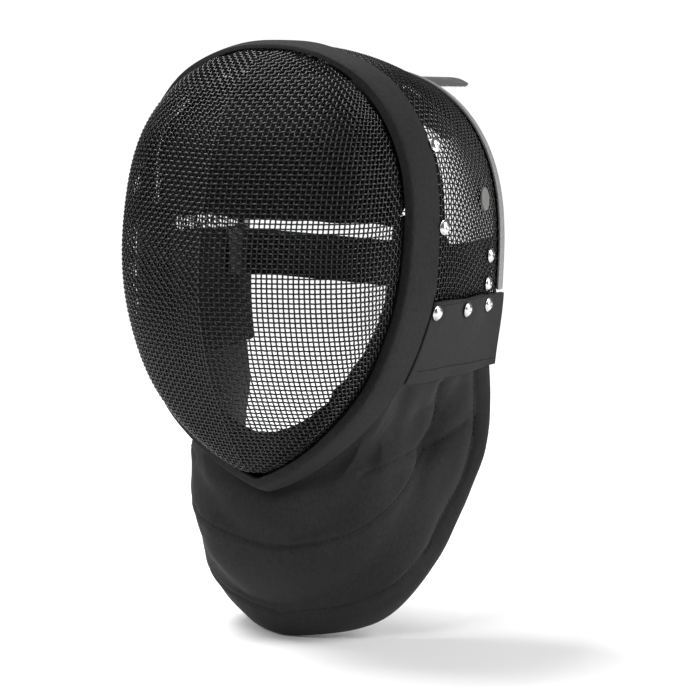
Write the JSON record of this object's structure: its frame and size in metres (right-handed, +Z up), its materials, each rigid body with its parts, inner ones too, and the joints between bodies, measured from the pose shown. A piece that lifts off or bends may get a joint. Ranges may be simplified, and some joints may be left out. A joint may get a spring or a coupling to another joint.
{
  "type": "fencing mask",
  "caption": "Fencing mask with a creased wire mesh face, riveted mesh sides, dark cloth binding, padded quilted bib, rear strap and metal tongue.",
  "frame": {"origin": "where the crown of the wearer's head meets the underside of the crown pad", "axes": "the mask faces -Y, +Z up, +X towards the wearer's left"},
  "size_m": [0.2176, 0.3168, 0.3761],
  "materials": {
    "black_wire": "semi-gloss black coated wire weave",
    "binding_cloth": "dark grey woven cloth",
    "bib_cloth": "dark grey woven cloth over padding",
    "lining_cloth": "black brushed lining cloth",
    "strap_elastic": "black ribbed elastic webbing",
    "grey_trim": "grey matte edging",
    "bright_steel": "bright satin steel",
    "rivet_steel": "bright domed rivet",
    "grey_disc": "grey matte plastic"
  },
  "bodies": {
    "root": {"face_mesh": "black_wire", "side_mesh": "black_wire", "binding_band": "binding_cloth", "rear_trim": "grey_trim", "bib": "bib_cloth", "bib_side_left": "bib_cloth", "bib_side_right": "bib_cloth", "forehead_pad": "lining_cloth", "crown_pad": "lining_cloth", "cheek_lining_left": "lining_cloth", "cheek_lining_right": "lining_cloth", "chin_padding": "lining_cloth", "tongue": "bright_steel", "back_strap": "strap_elastic", "band_rivet_upper_left": "rivet_steel", "band_rivet_upper_right": "rivet_steel", "band_rivet_lower_left": "rivet_steel", "band_rivet_lower_right": "rivet_steel", "strap_rivet_upper_left": "rivet_steel", "strap_rivet_upper_right": "rivet_steel", "strap_rivet_lower_left": "rivet_steel", "strap_rivet_lower_right": "rivet_steel", "bib_rivet_front_left": "rivet_steel", "bib_rivet_front_right": "rivet_steel", "bib_rivet_middle_left": "rivet_steel", "bib_rivet_middle_right": "rivet_steel", "bib_rivet_rear_left": "rivet_steel", "bib_rivet_rear_right": "rivet_steel", "side_disc_left": "grey_disc", "side_disc_right": "grey_disc"}
  },
  "joints": []
}
